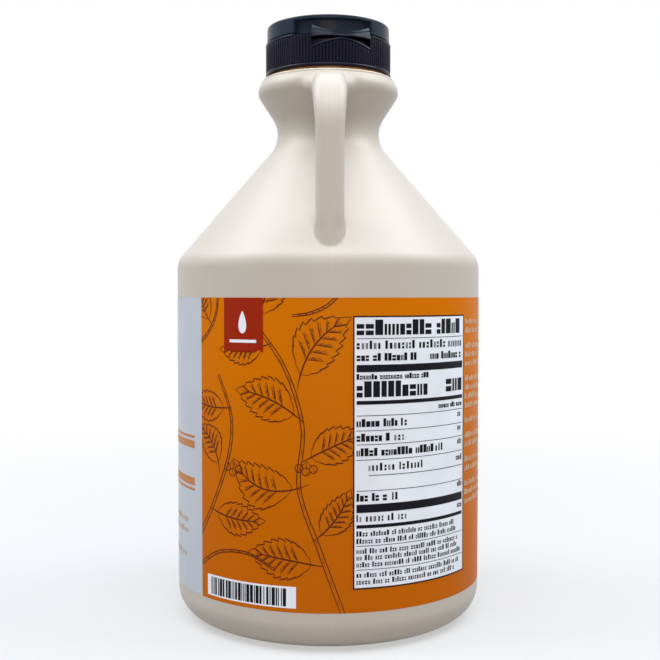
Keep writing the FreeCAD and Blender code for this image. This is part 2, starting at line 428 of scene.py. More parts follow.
def wrap(arc, height, radius):
    """Point on the label from its place round the wall and its height."""
    turn = arc / BODY_RADIUS
    return Vector((radius * math.sin(turn), -radius * math.cos(turn), height)) * MM


def across_line(points, index):
    """Unit step to the left of a line at one of its points."""
    before = points[max(index - 1, 0)]
    after = points[min(index + 1, len(points) - 1)]
    run = math.hypot(after[0] - before[0], after[1] - before[1]) or 1.0
    return (before[1] - after[1]) / run, (after[0] - before[0]) / run


def place_towards(start, heading, reach):
    """Place at some reach from another in a direction."""
    return start[0] + reach * math.cos(heading), start[1] + reach * math.sin(heading)


def drop_outline(middle, height, half_width, half_height, count):
    """Outline of a drop with its point upwards."""
    turns = [2 * math.pi * index / count for index in range(count)]
    return [(middle + half_width * math.sin(turn) * math.sin(turn / 2) ** 0.9,
             height + half_height * math.cos(turn)) for turn in turns]


class Print:
    """Flat shapes in (arc, height) that are printed together: one ink on one layer."""

    def __init__(self, name, radius):
        self.name = name
        self.radius = radius
        self.flat = bmesh.new()

    def polygon(self, points):
        """Filled outline."""
        verts = [self.flat.verts.new((arc, 0, height)) for arc, height in points]
        self.flat.faces.new(verts)

    def bar(self, left, right, bottom, top):
        """Filled rectangle."""
        self.polygon([(left, bottom), (right, bottom), (right, top), (left, top)])

    def ribbon(self, points, width, taper=0.35):
        """Line of ink along points, thinner towards its ends."""
        count = len(points)
        sides = []
        for index, point in enumerate(points):
            across = across_line(points, index)
            swell = math.sin(math.pi * index / (count - 1))
            half = width / 2 * (taper + (1 - taper) * min(1.0, 1.6 * swell))
            sides.append([self.flat.verts.new((point[0] + side * across[0] * half, 0,
                                               point[1] + side * across[1] * half))
                          for side in (-1, 1)])
        for low, high in zip(sides, sides[1:]):
            self.flat.faces.new((low[0], high[0], high[1], low[1]))

    def slice(self, place, normal, clear=False):
        """Cuts all faces by a plane, and clears what lies behind it if asked."""
        whole = self.flat.verts[:] + self.flat.edges[:] + self.flat.faces[:]
        bmesh.ops.bisect_plane(self.flat, geom=whole, dist=1e-5, plane_co=place,
                               plane_no=normal, clear_inner=clear)

    def trim(self, bottom, top):
        """Keeps what lies between two heights."""
        self.slice((0, 0, bottom), (0, 0, 1), clear=True)
        self.slice((0, 0, top), (0, 0, -1), clear=True)

    def clear_between(self, left, right):
        """Removes what lies between two arcs."""
        for arc in (left, right):
            self.slice((arc, 0, 0), (1, 0, 0))
        inside = [face for face in self.flat.faces if left < face.calc_center_median().x < right]
        bmesh.ops.delete(self.flat, geom=inside, context="FACES")

    def apply(self, material, slice_width=2.0):
        """Bends the shapes round the jug as one thin closed layer of a material."""
        many_sided = [face for face in self.flat.faces if len(face.verts) > 4]
        bmesh.ops.triangulate(self.flat, faces=many_sided)
        arcs = [vert.co.x for vert in self.flat.verts]
        arc = math.floor(min(arcs) / slice_width) * slice_width
        while arc < max(arcs):
            self.slice((arc, 0, 0), (1, 0, 0))
            arc += slice_width
        for vert in self.flat.verts:
            vert.co = wrap(vert.co.x, vert.co.z, self.radius)
        for face in self.flat.faces:
            face.normal_update()
            middle = face.calc_center_median()
            if face.normal.x * middle.x + face.normal.y * middle.y < 0:
                face.normal_flip()
        mesh = bpy.data.meshes.new(self.name)
        self.flat.to_mesh(mesh)
        self.flat.free()
        obj = link(self.name, mesh)
        shell = obj.modifiers.new("film", "SOLIDIFY")
        shell.thickness = INK_THICKNESS * MM
        shell.offset = -1
        depsgraph = bpy.context.evaluated_depsgraph_get()
        closed = bpy.data.meshes.new_from_object(obj.evaluated_get(depsgraph))
        obj.modifiers.clear()
        obj.data = closed
        smooth(closed, 30)
        finish_piece(obj, material)


def build_sheet(material):
    """Base film of the label: a thin closed band with a narrow gap at the back."""
    start = LABEL_GAP_ARC[1] - 2 * math.pi * BODY_RADIUS
    end = LABEL_GAP_ARC[0]
    columns = 240
    points = []
    for radius, height in ((BODY_RADIUS, LABEL_BOTTOM), (SHEET_RADIUS, LABEL_BOTTOM),
                           (SHEET_RADIUS, LABEL_TOP), (BODY_RADIUS, LABEL_TOP)):
        for column in range(columns + 1):
            arc = start + (end - start) * column / columns
            points.append(wrap(arc, height, radius) / MM)
    faces = grid_faces(4, columns + 1, closed_rows=False)
    last = 3 * (columns + 1)
    for column in range(columns):
        faces.append((last + column, last + column + 1, column + 1, column))
    faces.append((0, columns + 1, 2 * (columns + 1), last))
    faces.append((last + columns, 3 * columns + 2, 2 * columns + 1, columns))
    mesh = mesh_from("label_film", points, faces)
    smooth(mesh, 30)
    film = finish_piece(link("label_film", mesh), material)
    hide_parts("label")


# Widths of the drawn lines, and the share of its width that a fine line keeps at its ends.
LEAF_LINE = 0.42
MIDRIB_LINE = 0.5
VEIN_LINE = 0.30
SHADING_LINE = 0.19
TWIG_LINE = 0.34
BARK_LINE = 0.16
STALK_LINE = 0.22
BERRY_LINE = 0.3
BERRY_SHADING_LINE = 0.15
FINE_TAPER = 0.2

# How far a side vein runs on towards the tip, as a share of the leaf's length, and the points
# along each stretch of a twig.
VEIN_LEAN = 0.15
CURVE_STEPS = 14


def leaf(ink, hatch, base, heading, length, width, rng, teeth=9):
    """Line drawing of an oval toothed leaf: outline, midrib, side veins and shading strokes."""
    forward = (math.cos(heading), math.sin(heading))
    bend = rng.uniform(-0.18, 0.18) * length

    def place(along, across):
        """Place at a share of the leaf's length and a distance across it."""
        sway = bend * 4 * along * (1 - along)
        return (base[0] + forward[0] * along * length - forward[1] * (across + sway),
                base[1] + forward[1] * along * length + forward[0] * (across + sway))

    def half_width(along):
        """Half the leaf's width at a share of its length."""
        return width / 2 * math.sin(math.pi * along ** 0.8) ** 0.85

    for side in (1, -1):
        edge = []
        for tooth in range(teeth):
            low, high = tooth / teeth, (tooth + 1) / teeth
            tip = low + 0.9 * (high - low)
            jut = width * 0.055 * math.sin(math.pi * (low + 0.5 / teeth))
            edge.append(place(low, side * half_width(low)))
            edge.append(place((low + tip) / 2, side * (half_width((low + tip) / 2) + jut * 0.9)))
            edge.append(place(tip + 0.02, side * (half_width(min(tip, 1)) + jut * 1.7)))
        edge.append(place(1.04, 0))
        ink.ribbon(edge, LEAF_LINE)
        for vein in range(1, 7):
            start = 0.08 + vein * 0.115
            reach = half_width(min(start + 0.13, 0.97)) * 0.86
            ink.ribbon([place(start + VEIN_LEAN * step, side * reach * step ** 1.15)
                        for step in (0, 0.35, 0.7, 1)], VEIN_LINE, FINE_TAPER)
            for stroke in range(7):
                from_rib = 0.05 + 0.10 * stroke + rng.uniform(-0.02, 0.02)
                length_share = rng.uniform(0.14, 0.30) * (1.15 - 0.5 * from_rib)
                drift = 0.022 + 0.012 * (stroke % 3)
                steps = (from_rib, from_rib + length_share / 2, from_rib + length_share)
                hatch.ribbon([place(start + VEIN_LEAN * step + drift, side * reach * step)
                              for step in steps], SHADING_LINE, FINE_TAPER)
    ink.ribbon([place(step / 10, 0) for step in range(-2, 10)], MIDRIB_LINE, 0.3)


def stem(ink, points, width, rng):
    """Twig drawn as two lines with short bark strokes between them."""
    path = curve_through(points)
    count = len(path)
    for side in (1, -1):
        line = []
        for index, point in enumerate(path):
            across = across_line(path, index)
            half = side * width / 2 * (1 - 0.45 * index / count) + rng.uniform(-0.04, 0.04)
            line.append((point[0] + across[0] * half, point[1] + across[1] * half))
        ink.ribbon(line, TWIG_LINE, 0.7)
    for index in range(3, count - 4, 4):
        ink.ribbon(path[index:index + 3], BARK_LINE, FINE_TAPER)


def curve_through(points, steps=CURVE_STEPS):
    """Smooth run of places through a few points, by a Catmull-Rom curve."""
    padded = [points[0]] + list(points) + [points[-1]]
    result = []
    for a, b, c, d in zip(padded, padded[1:], padded[2:], padded[3:]):
        for step in range(steps):
            t = step / steps
            result.append(tuple(
                0.5 * (2 * b[k] + (c[k] - a[k]) * t + (2 * a[k] - 5 * b[k] + 4 * c[k] - d[k]) * t * t
                       + (3 * b[k] - a[k] - 3 * c[k] + d[k]) * t ** 3) for k in (0, 1)))
    result.append(tuple(points[-1]))
    return result


def berries(ink, hatch, centre, size, count, rng):
    """Loose cluster of round fruit on short stalks."""
    for index in range(count):
        heading = -math.pi / 2 + (index - (count - 1) / 2) * 0.75
        middle = place_towards(centre, heading, size * rng.uniform(2.2, 3.2))
        sway = ((centre[0] + middle[0]) / 2 + 0.3, (centre[1] + middle[1]) / 2)
        ink.ribbon([centre, sway, middle], STALK_LINE)
        ring = [place_towards(middle, turn * math.pi / 8, size) for turn in range(17)]
        ink.ribbon(ring, BERRY_LINE, 1.0)
        for share in (0.35, 0.6):
            hatch.ribbon([place_towards(middle, turn, size * share)
                          for turn in (-1.6, -1.1, -0.6, -0.1)], BERRY_SHADING_LINE)


# Sprays of leaves: a twig's points and width, then leaves as (share along the twig, side, length).
# Berries hang on stout twigs only. A leaf is left out where it would lie on an earlier one: closer
# than a share of both lengths together.
STOUT_TWIG = 1.0
LEAF_SPACING = 0.35
SPRAYS = [
    ([(4.0, 11.0), (-3.0, 30.0), (-9.0, 48.0), (-8.0, 66.0), (-14.0, 84.0), (-26.0, 99.0)], 1.3,
     [(0.16, 1, 19), (0.24, -1, 15), (0.40, 1, 20), (0.50, -1, 17), (0.64, 1, 19), (0.74, -1, 21),
      (0.88, 1, 15), (0.95, -1, 18)]),
    ([(-45.5, 30.0), (-38.0, 42.0), (-32.0, 56.0), (-31.0, 68.0), (-36.0, 80.0)], 1.1,
     [(0.20, -1, 17), (0.42, 1, 14), (0.60, -1, 16), (0.80, 1, 15), (1.0, -1, 15)]),
    ([(-46.0, 21.0), (-36.0, 27.0), (-25.0, 28.0), (-16.0, 24.0)], 0.9,
     [(0.45, 1, 16), (0.70, -1, 13), (1.0, 1, 15)]),
    ([(5.5, 108.0), (0.5, 101.5), (-5.0, 98.5), (-11.0, 97.5)], 0.9,
     [(0.45, -1, 13), (0.6, 1, 14), (0.9, 1, 14), (1.0, -1, 14)]),
    ([(-47.0, 88.0), (-41.0, 92.0), (-37.0, 98.0), (-36.0, 106.0)], 0.9,
     [(0.30, -1, 13), (0.45, 1, 13), (0.80, 1, 14)]),
    ([(80.0, 11.0), (86.0, 32.0), (96.0, 52.0), (98.0, 74.0), (108.0, 94.0)], 1.3,
     [(0.18, 1, 20), (0.30, -1, 17), (0.46, 1, 21), (0.58, -1, 19), (0.74, 1, 20), (0.86, -1, 17),
      (0.98, 1, 18)]),
    ([(152.0, 20.0), (140.0, 40.0), (136.0, 60.0), (124.0, 76.0)], 1.1,
     [(0.22, -1, 17), (0.45, 1, 16), (0.66, -1, 18), (0.85, 1, 14), (1.0, -1, 16)]),
]


def build_foliage(ink_material, hatch_material):
    """Sprays of toothed leaves and berries in line drawing over the coloured field."""
    rng = random.Random(7)
    ink = Print("label_foliage_lines", LINE_RADIUS)
    hatch = Print("label_foliage_shading", LINE_RADIUS)
    placed = []
    for twig, width, leaves in SPRAYS:
        stem(ink, twig, width, rng)
        path = curve_through(twig)
        for share, side, length in leaves:
            index = int(share * (len(path) - 2))
            here, after = path[index], path[index + 1]
            run = math.atan2(after[1] - here[1], after[0] - here[0])
            heading = run + side * rng.uniform(0.75, 1.15)
            base = place_towards(here, heading, rng.uniform(2.0, 4.0))
            centre = place_towards(base, heading, length / 2)
            if any(math.dist(centre, other) < LEAF_SPACING * (length + size) for other, size in placed):
                continue
            placed.append((centre, length))
            leaf(ink, hatch, base, heading, length, length * rng.uniform(0.5, 0.6), rng)
        if width > STOUT_TWIG:
            middle = path[len(path) // 2]
            berries(ink, hatch, (middle[0] + 1.5, middle[1] - 1.0), 1.15, 3, rng)
    for layer in (ink, hatch):
        layer.trim(LABEL_BOTTOM + EDGE_MARGIN, LABEL_TOP - EDGE_MARGIN)
        layer.clear_between(LABEL_GAP_ARC[0] - GAP_MARGIN, LABEL_GAP_ARC[1] + GAP_MARGIN)
    ink.apply(ink_material)
    hatch.apply(hatch_material)


# Height of a low block as a share of the row, and fewest and most blocks in a word.
LOW_BLOCK = 0.72
SHORT_WORD = (2, 8)
LONG_WORD = (30, 30)


def word_blocks(ink, left, right, base, height, rng, weight=1.0, run=SHORT_WORD):
    """Row of blocks grouped like words, without letters. The weight is a block's inked share."""
    arc = left
    while arc < right - height * 0.6:
        for _ in range(rng.randint(*run)):
            width = height * rng.uniform(0.34, 0.56)
            if arc + width > right:
                break
            stroke = arc + width * weight
            shape = rng.random()
            if shape < 0.3:
                ink.bar(arc, stroke, base, base + height)
            elif shape < 0.5:
                ink.bar(arc, stroke, base, base + LOW_BLOCK * height)
            elif shape < 0.8:
                ink.bar(arc, stroke, base, base + 0.3 * height)
                ink.bar(arc, stroke, base + 0.42 * height, base + LOW_BLOCK * height)
            else:
                ink.bar(arc, arc + 0.4 * (stroke - arc), base, base + LOW_BLOCK * height)
                ink.bar(arc + 0.6 * (stroke - arc), stroke, base, base + LOW_BLOCK * height)
            arc += width + height * 0.10
        arc += height * 0.42


def build_fields(painted_shade_front_material, white_material):
    """Plain fields on the coloured film: front panel with painted shade, facts panel and stripe block.
    """
    front = Print("label_front_panel", PANEL_RADIUS)
    front.bar(*FRONT_PANEL, LABEL_BOTTOM + FIELD_MARGIN, LABEL_TOP - FIELD_MARGIN)
    front.apply(painted_shade_front_material)
    white = Print("label_white_fields", PANEL_RADIUS)
    white.bar(*FACTS_PANEL)
    white.bar(*STRIPE_BLOCK)
    white.apply(white_material)


def build_tag(red_material, white_material, points=5):
    """Red tag with a toothed foot, and the drop and bar printed on it."""
    tag = Print("label_tag", PANEL_RADIUS)
    left, right, foot = TAG
    zigzag = []
    for index in range(2 * points + 1):
        drop = 0.0 if index % 2 else -0.75
        zigzag.append((left + (right - left) * index / (2 * points), foot + drop))
    tag.polygon(zigzag + [(right, LABEL_TOP - FIELD_MARGIN), (left, LABEL_TOP - FIELD_MARGIN)])
    tag.apply(red_material)
    marks = Print("label_tag_marks", INK_RADIUS)
    marks.polygon(drop_outline((left + right) / 2, 95.6, 1.75, 3.3, 36))
    marks.bar(left + 2.2, right - 2.2, 89.6, 90.5)
    marks.apply(white_material)


def build_pale_rows(material):
    """Groups of word-like rows beside the facts panel."""
    pale = Print("label_pale_rows", INK_RADIUS)
    rng = random.Random(21)
    height = 94.6
    for rows in (2, 3, 4, 1, 2, 2, 3):
        for _ in range(rows):
            word_blocks(pale, 49.4, 74.5 - rng.uniform(0, 5), height, 1.7, rng, 0.85)
            height -= 2.75
        height -= 1.9
    pale.apply(material)


def facts_rules(ink, inner_left, inner_right):
    """Frame, heavy bands and fine rules of the facts panel."""
    left, right, bottom, top = FACTS_PANEL
    edge = 0.42
    half_rule = 0.09
    ink.bar(left, right, bottom, bottom + edge)
    ink.bar(left, right, top - edge, top)
    ink.bar(left, left + edge, bottom, top)
    ink.bar(right - edge, right, bottom, top)
    for low, high in ((81.4, 83.5), (72.1, 73.2), (41.0, 43.4), (36.5, 37.5)):
        ink.bar(inner_left, inner_right, low, high)
    for rule in (91.0, 68.9, 64.6, 60.6, 56.2, 47.3, 31.4, 24.5):
        ink.bar(inner_left, inner_right, rule - half_rule, rule + half_rule)
    ink.bar(inner_left + 3.6, inner_right, 51.6, 51.8)


def facts_rows(ink, inner_left, inner_right, rng):
    """Word-like rows of the facts panel, from its heading down to its small notes."""
    for left, right, base, height, weight, run in (
            (inner_left, 32.2, 92.0, 4.4, 1.0, LONG_WORD),
            (34.2, inner_right, 92.0, 4.4, 1.0, LONG_WORD),
            (inner_left, inner_right - 0.5, 88.0, 2.4, 0.7, SHORT_WORD),
            (inner_left, 27.0, 84.6, 2.2, 1.0, SHORT_WORD),
            (31.5, inner_right, 84.6, 2.2, 1.0, SHORT_WORD),
            (inner_left, 31.0, 79.3, 1.6, 1.0, SHORT_WORD),
            (inner_left, 31.6, 74.2, 4.6, 1.0, LONG_WORD),
            (38.4, inner_right, 74.6, 5.2, 1.0, LONG_WORD),
            (35.0, inner_right, 69.9, 1.5, 1.0, SHORT_WORD)):
        word_blocks(ink, left, right, base, height, rng, weight, run)
    for base, bold_end, light_end in ((65.7, 20.3, 24.0), (61.5, 18.2, 23.5), (57.3, 33.0, 37.5),
                                      (44.3, 17.5, 20.5)):
        word_blocks(ink, inner_left, bold_end, base, 2.3, rng)
        word_blocks(ink, bold_end + 0.8, light_end, base, 2.2, rng, 0.6)
        word_blocks(ink, 44.6, inner_right, base + 1.0, 1.7, rng, 0.9)
    word_blocks(ink, inner_left + 3.6, 30.0, 53.0, 2.2, rng, 0.6)
    word_blocks(ink, 43.8, inner_right, 53.4, 1.7, rng, 0.9)
    word_blocks(ink, inner_left, 24.0, 38.4, 2.1, rng, 0.6)
    word_blocks(ink, 44.6, inner_right, 38.8, 1.7, rng, 0.9)
    for base in (34.2, 32.1, 29.2, 27.3, 25.3, 22.3, 20.3):
        word_blocks(ink, inner_left, inner_right - rng.uniform(0.5, 6.0), base, 1.5, rng, 0.8)


def stripes(ink, rng):
    """Upright stripes of a few widths across the stripe block."""
    left, right, bottom, top = STRIPE_BLOCK
    arc = left + 1.8
    while arc < right - 3.4:
        width = rng.choice((0.3, 0.45, 0.7, 1.0))
        ink.bar(arc, arc + width, bottom + 0.5, top - 0.6)
        arc += width + rng.choice((0.25, 0.35, 0.6))


def build_facts_ink(material):
    """Black print of the facts panel and of the stripe block."""
    ink = Print("label_facts_ink", INK_RADIUS)
    rng = random.Random(5)
    inner_left, inner_right = FACTS_PANEL[0] + 1.0, FACTS_PANEL[1] - 1.0
    facts_rules(ink, inner_left, inner_right)
    facts_rows(ink, inner_left, inner_right, rng)
    stripes(ink, rng)
    ink.apply(material)


def build_front_marks(material, pale_material):
    """Generic bands, a drop and word-like rows in the middle of the front panel."""
    marks = Print("label_front_marks", INK_RADIUS)
    middle = sum(FRONT_PANEL) / 2
    half = 47.5
    for low, high in ((56.5, 58.8), (59.6, 60.4), (45.0, 47.4), (43.4, 44.2)):
        marks.bar(middle - half, middle + half, low, high)
    marks.polygon(drop_outline(middle, 78.5, 9.0, 13.0, 64))
    marks.apply(material)
    rows = Print("label_front_rows", INK_RADIUS)
    rng = random.Random(11)
    for base in (33.0, 29.5, 22.0):
        word_blocks(rows, middle - 36, middle + 43, base, 1.8, rng, 0.9)
    rows.apply(pale_material)


# ---------------------------------------------------------------- cap

# Cap: radii, heights above its lower edge, and angles from the middle of the hinge.
CAP_RADIUS = 20.5
CAP_HINGE_TURN = -78.0
BORE_RADIUS = 18.8
BORE_DEPTH = 9.0
RIB_COUNT = 120
RIB_DEPTH = 0.3
RIB_RADIUS = 20.42
RIM_FOOT = 0.35
RIB_FOOT = 1.5
RIB_TOP = 9.9
DECK = 10.6
GROOVE_TOP = 10.95
GROOVE_RADIUS = 19.35
LID_RADIUS = 20.05
LIP_FOOT = 15.0
CAP_HEIGHT = CAP_TOP - CAP_BOTTOM
CROWN_ROUND = 0.55
TOP_SINK = 0.25
WINDOW = (-45.0, 30.0)
WINDOW_EASE = 0.9
WINDOW_RADIUS = 18.05
BOW_ANGLE = 27.5
CAP_COLUMNS = 6 * RIB_COUNT

# Opening tab opposite the hinge: its reach, and the half angles where it begins and ends to fade.
TAB_REACH = 0.4
TAB_FADE = (14.0, 20.0)

# Arched strip under the bow: heights of its two edges, at its ends and at the knot.
ARCH_FOOT = (5.7, 8.35)
ARCH_TOP = (6.6, 8.95)


def step_between(value, low, high):
    """Smooth change from 0 at low to 1 at high."""
    share = min(max((value - low) / (high - low), 0.0), 1.0)
    return share * share * (3 - 2 * share)


def arch_height(angle, ends, knot):
    """Height of an edge of the arched strip under the bow, from its ends to the knot."""
    return knot - (knot - ends) * min(abs(angle) / BOW_ANGLE, 1.0) ** 1.5


def cap_section(angle):
    """(radius, height, share of rib) down one column of the cap, from bore to crown."""
    window = step_between(angle, WINDOW[0] - WINDOW_EASE, WINDOW[0] + WINDOW_EASE)
    window *= 1 - step_between(angle, WINDOW[1] - WINDOW_EASE, WINDOW[1] + WINDOW_EASE)
    bow = 1 - step_between(abs(angle), BOW_ANGLE - 0.3, BOW_ANGLE + 0.4)
    tab = TAB_REACH * (1 - step_between(abs(abs(angle) - 180), *TAB_FADE))
    rib_top = RIB_TOP + window * (DECK - 0.15 - RIB_TOP)
    rib_top += bow * (arch_height(angle, *ARCH_FOOT) + 0.05 - rib_top)
    ledge = rib_top + 0.15
    lid_radius = LID_RADIUS + tab
    section = [(BORE_RADIUS - 0.2, BORE_DEPTH, 0), (BORE_RADIUS, BORE_DEPTH - 0.2, 0),
               (BORE_RADIUS, RIM_FOOT + 0.2, 0), (BORE_RADIUS + 0.2, RIM_FOOT, 0),
               (CAP_RADIUS - 0.5, RIM_FOOT, 0), (CAP_RADIUS - 0.15, RIM_FOOT + 0.1, 0),
               (CAP_RADIUS, RIM_FOOT + 0.3, 0), (CAP_RADIUS, RIM_FOOT + 0.5, 0),
               (CAP_RADIUS - 0.2, RIM_FOOT + 0.85, 0), (RIB_RADIUS - RIB_DEPTH, RIM_FOOT + 1.0, 0),
               (RIB_RADIUS - RIB_DEPTH, RIB_FOOT, 0)]
    for share, rib in ((0.02, 0.7), (0.05, 1.0), (0.35, 1.0), (0.65, 1.0), (0.95, 1.0), (0.985, 0.6)):
        section.append((RIB_RADIUS, RIB_FOOT + share * (rib_top - RIB_FOOT), rib))
    closed = [(RIB_RADIUS - 0.1, RIB_TOP, 0), (CAP_RADIUS, RIB_TOP + 0.15, 0),
              (CAP_RADIUS, DECK - 0.3, 0), (CAP_RADIUS - 0.06, DECK - 0.13, 0),
              (CAP_RADIUS - 0.15, DECK - 0.04, 0), (CAP_RADIUS - 0.3, DECK, 0),
              (GROOVE_RADIUS, DECK, 0), (GROOVE_RADIUS, GROOVE_TOP, 0),
              (lid_radius - 0.2, GROOVE_TOP, 0), (lid_radius, GROOVE_TOP + 0.15, 0),
              (lid_radius, GROOVE_TOP + 0.6, 0), (LID_RADIUS - 0.02 + tab / 2, 12.2, 0),
              (LID_RADIUS - 0.05, 13.5, 0), (LID_RADIUS - 0.1, LIP_FOOT, 0)]
    floor_radius = WINDOW_RADIUS + 0.1
    opened = [(RIB_RADIUS - 0.1, rib_top, 0), (RIB_RADIUS - 0.3, rib_top + 0.1, 0),
              (RIB_RADIUS - 0.6, ledge, 0), (19.4, ledge, 0), (18.8, ledge, 0),
              (floor_radius + 0.1, ledge, 0), (floor_radius, rib_top + 0.25, 0),
              (floor_radius, GROOVE_TOP, 0), (WINDOW_RADIUS, GROOVE_TOP + 0.2, 0),
              (WINDOW_RADIUS, 11.6, 0), (WINDOW_RADIUS, 12.6, 0), (WINDOW_RADIUS, 13.6, 0),
              (WINDOW_RADIUS, LIP_FOOT - 0.15, 0), (WINDOW_RADIUS + 0.15, LIP_FOOT, 0)]
    for shut, cut in zip(closed, opened):
        section.append(tuple(a + (b - a) * window for a, b in zip(shut, cut)))
    lip_radius = LID_RADIUS - 0.12
    section.append((lip_radius, LIP_FOOT + 0.02, 0))
    for index in range(6):
        turn = math.pi / 2 * index / 5
        section.append((lip_radius - CROWN_ROUND + CROWN_ROUND * math.cos(turn),
                        CAP_HEIGHT - CROWN_ROUND + CROWN_ROUND * math.sin(turn), 0))
    for radius, sink in ((17.9, 0.0), (17.6, 0.08), (17.35, TOP_SINK), (14.0, TOP_SINK),
                         (7.0, TOP_SINK), (0.6, TOP_SINK)):
        section.append((radius, CAP_HEIGHT - sink, 0))
    return section


def build_cap_shell(material):
    """Ribbed skirt, parting groove, hinge window and lid in one closed turned mesh."""
    sections = []
    for column in range(CAP_COLUMNS):
        degrees = 360 * column / CAP_COLUMNS
        angle = (degrees - CAP_HINGE_TURN + 180) % 360 - 180
        wave = abs(math.sin(math.pi * RIB_COUNT * column / CAP_COLUMNS))
        turn = math.radians(degrees)
        points = []
        for radius, height, rib in cap_section(angle):
            across = radius - RIB_DEPTH + RIB_DEPTH * wave ** 0.8 * rib if rib else radius
            points.append((across * math.cos(turn), across * math.sin(turn), CAP_BOTTOM + height))
        sections.append(points)
    rows = len(sections[0])
    points = [sections[column][row] for row in range(rows) for column in range(CAP_COLUMNS)]
    faces = grid_faces(rows, CAP_COLUMNS)
    faces.append(tuple(reversed(range(CAP_COLUMNS))))
    faces.append(tuple(range((rows - 1) * CAP_COLUMNS, rows * CAP_COLUMNS)))
    mesh = mesh_from("cap_shell", points, faces)
    smooth(mesh, 38)
    shell = finish_piece(link("cap_shell", mesh), material)
    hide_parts("cap")


def curved_bar(name, section_at, material, columns=56):
    """Closed bar along the hinge, from (radius, height) sections at each angle."""
    rows = []
    for column in range(columns + 1):
        angle = BOW_ANGLE * (2 * column / columns - 1)
        turn = math.radians(CAP_HINGE_TURN + angle)
        rows.append([(radius * math.cos(turn), radius * math.sin(turn), CAP_BOTTOM + height)
                     for radius, height in section_at(angle)])
    size = len(rows[0])
    points = [point for row in rows for point in row]
    faces = grid_faces(len(rows), size)
    faces.append(tuple(reversed(range(size))))
    faces.append(tuple(range(columns * size, (columns + 1) * size)))
    mesh = mesh_from(name, points, faces)
    smooth(mesh, 32)
    obj = link(name, mesh)
    bevel = obj.modifiers.new("soft_edges", "BEVEL")
    bevel.width = 0.1 * MM
    bevel.segments = 2
    bevel.limit_method = "ANGLE"
    finish_piece(obj, material)


def bow_section(angle):
    """Wing of the bow: faces that lean back towards the lid, with a fold line between them."""
    foot = 9.0 + 0.25 * math.sin(math.pi * abs(angle) / BOW_ANGLE)
    top = 10.75 + 2.4 * (abs(angle) / BOW_ANGLE) ** 1.6
    rise = top - foot
    return [(18.0, foot + 0.2), (20.6, foot), (20.9, foot + 0.2), (20.35, foot + 0.6 * rise),
            (20.1, foot + 0.63 * rise), (20.2, foot + 0.72 * rise), (19.75, top - 0.05),
            (19.45, top), (18.0, top - 0.1)]


def arch_section(angle):
    """Strip under the bow that the skirt's ribs run up to."""
    foot = arch_height(angle, *ARCH_FOOT)
    top = arch_height(angle, *ARCH_TOP)
    return [(18.6, foot), (20.4, foot), (20.62, foot + 0.15), (20.45, top), (18.6, top)]


def build_cap(material):
    """Closed flip-top cap with its bow-shaped hinge."""
    build_cap_shell(material)
    curved_bar("cap_hinge_bow", bow_section, material)
    curved_bar("cap_hinge_arch", arch_section, material)


# ---------------------------------------------------------------- materials


def add_node(tree, kind, place, inputs=None, **values):
    """Node of a kind at a place, with its properties and the values of its sockets set."""
    node = tree.nodes.new(kind)
    node.location = place
    for key, value in values.items():
        setattr(node, key, value)
    for key, value in (inputs or {}).items():
        node.inputs[key].default_value = value
    return node


def moulded_grain():
    """Shared group: uneven tone, uneven gloss and fine relief of moulded or printed plastic."""
    tree = bpy.data.node_groups.new("moulded_grain", "ShaderNodeTree")
    sockets = tree.interface
    for name, kind, default in (("Colour", "NodeSocketColor", (0.8, 0.8, 0.8, 1)),
                                ("Second Colour", "NodeSocketColor", (0.7, 0.7, 0.7, 1)),
                                ("Cloud Scale", "NodeSocketFloat", 30.0),
                                ("Grain Scale", "NodeSocketFloat", 900.0),
                                ("Roughness Low", "NodeSocketFloat", 0.35),
                                ("Roughness High", "NodeSocketFloat", 0.5),
                                ("Relief", "NodeSocketFloat", 0.1)):
        socket = sockets.new_socket(name=name, in_out="INPUT", socket_type=kind)
        socket.default_value = default
    for name, kind in (("Color", "NodeSocketColor"), ("Roughness", "NodeSocketFloat"),
                       ("Normal", "NodeSocketVector")):
        sockets.new_socket(name=name, in_out="OUTPUT", socket_type=kind)
    enter = add_node(tree, "NodeGroupInput", (-900, 0))
    leave = add_node(tree, "NodeGroupOutput", (500, 0))
    place = add_node(tree, "ShaderNodeTexCoord", (-900, -300))
    clouds = add_node(tree, "ShaderNodeTexNoise", (-650, 100), {"Detail": 3.0})
    grain = add_node(tree, "ShaderNodeTexNoise", (-650, -200), {"Detail": 2.0})
    tone = add_node(tree, "ShaderNodeMapRange", (-400, 200), {"From Min": 0.3, "From Max": 0.7},
                    interpolation_type="SMOOTHSTEP")
    mix = add_node(tree, "ShaderNodeMix", (-100, 250), data_type="RGBA")
    gloss = add_node(tree, "ShaderNodeMapRange", (-100, 0), {"From Min": 0.25, "From Max": 0.75})
    bump = add_node(tree, "ShaderNodeBump", (200, -200), {"Distance": 0.05 * MM})
    join = tree.links.new
    join(place.outputs["Object"], clouds.inputs["Vector"])
    join(place.outputs["Object"], grain.inputs["Vector"])
    join(enter.outputs["Cloud Scale"], clouds.inputs["Scale"])
    join(enter.outputs["Grain Scale"], grain.inputs["Scale"])
    join(clouds.outputs["Fac"], tone.inputs["Value"])
    join(tone.outputs["Result"], mix.inputs["Factor"])
    join(enter.outputs["Colour"], mix.inputs["A"])
    join(enter.outputs["Second Colour"], mix.inputs["B"])
    join(grain.outputs["Fac"], gloss.inputs["Value"])
    join(enter.outputs["Roughness Low"], gloss.inputs["To Min"])
    join(enter.outputs["Roughness High"], gloss.inputs["To Max"])
    join(grain.outputs["Fac"], bump.inputs["Height"])
    join(enter.outputs["Relief"], bump.inputs["Strength"])
    join(mix.outputs["Result"], leave.inputs["Color"])
    join(gloss.outputs["Result"], leave.inputs["Roughness"])
    join(bump.outputs["Normal"], leave.inputs["Normal"])
    return tree


GRAIN = moulded_grain()
SATIN = (0.36, 0.46)


